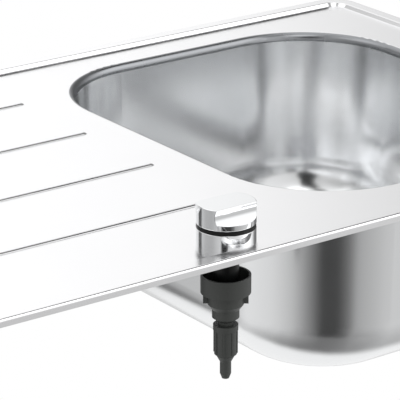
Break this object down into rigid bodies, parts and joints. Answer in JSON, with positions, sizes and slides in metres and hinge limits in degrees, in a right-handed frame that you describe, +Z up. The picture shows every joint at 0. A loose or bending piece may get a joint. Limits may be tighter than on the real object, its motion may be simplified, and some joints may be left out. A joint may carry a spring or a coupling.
{
  "type": "inset kitchen sink",
  "caption": "Inset stainless kitchen sink with one bowl, ribbed drainer, rotary pop-up control and basket waste with overflow.",
  "frame": {"origin": "middle of the outer edge, on the worktop that the rim seal rests on", "axes": "+X along the worktop from the drainer to the bowl, +Y to the back, +Z up"},
  "size_m": [0.86, 0.5, 0.2629],
  "materials": {
    "satin_stainless": "fine satin sheet",
    "polished_stainless": "polished pressed sheet",
    "chrome_plate": "polished",
    "plain_steel": "turned or stamped",
    "black_plastic": "moulded",
    "grey_plastic": "moulded",
    "black_rubber": "moulded",
    "grey_sponge": "closed-cell sponge",
    "damping_sheet": "filled bitumen sheet"
  },
  "bodies": {
    "sink": {"sink_deck": "satin_stainless", "bowl": "satin_stainless", "rim_seal": "grey_sponge", "clip_rails": "plain_steel", "sound_pad": "damping_sheet", "knob_base": "chrome_plate", "knob_base_seal": "black_rubber", "knob_slip_ring": "black_plastic", "threaded_shank": "black_plastic", "shank_washer": "plain_steel", "fixing_nut": "black_plastic", "coupling_cup": "black_plastic", "actuator_body": "black_plastic", "cable_sleeve": "black_plastic", "sleeve_tip": "black_plastic", "flange_seal": "black_rubber", "body_seal": "black_rubber", "strainer_cup": "polished_stainless", "waste_body": "grey_plastic", "flange_screws": "polished_stainless", "pin_guide": "grey_plastic", "gland_ring": "black_rubber", "overflow_plate": "polished_stainless", "overflow_screw": "polished_stainless", "overflow_gasket": "black_rubber", "overflow_head": "grey_plastic", "overflow_pipe": "grey_plastic", "pipe_collars": "grey_plastic"},
    "knob": {"knob_cap": "chrome_plate", "drive_spindle": "plain_steel", "spindle_circlip": "plain_steel"},
    "slider": {"pull_slider": "black_plastic"},
    "lever": {"lever_axle": "plain_steel", "lift_lever": "plain_steel", "cable_arm": "plain_steel"},
    "pin": {"lift_pin": "plain_steel"},
    "basket": {"strainer_basket": "polished_stainless", "basket_seal": "black_rubber", "basket_post": "polished_stainless", "basket_grip": "polished_stainless"}
  },
  "joints": [
    {"name": "knob_turn", "type": "hinge", "parent": "sink", "child": "knob", "pos_m": [-0.044, -0.207, 0.003], "axis": [0, 0, 1], "range_deg": [0, 90]},
    {"name": "slider_pull", "type": "slide", "parent": "sink", "child": "slider", "axis": [0, 0, 1], "range_m": [0, 0.00534]},
    {"name": "lever_swing", "type": "hinge", "parent": "sink", "child": "lever", "pos_m": [0.2365, 0.0055, -0.206], "axis": [0, 1, 0], "range_deg": [0, 15.32]},
    {"name": "pin_lift", "type": "slide", "parent": "sink", "child": "pin", "axis": [0, 0, 1], "range_m": [0, 0.008]},
    {"name": "basket_lift", "type": "slide", "parent": "pin", "child": "basket", "axis": [0, 0, 1], "range_m": [0, 0.22]}
  ],
  "couplings": [
    {"joint": "slider_pull", "follows": "knob_turn", "m_per_rad": 0.003395},
    {"joint": "lever_swing", "follows": "knob_turn", "ratio": 0.1702},
    {"joint": "pin_lift", "follows": "knob_turn", "m_per_rad": 0.00509}
  ]
}
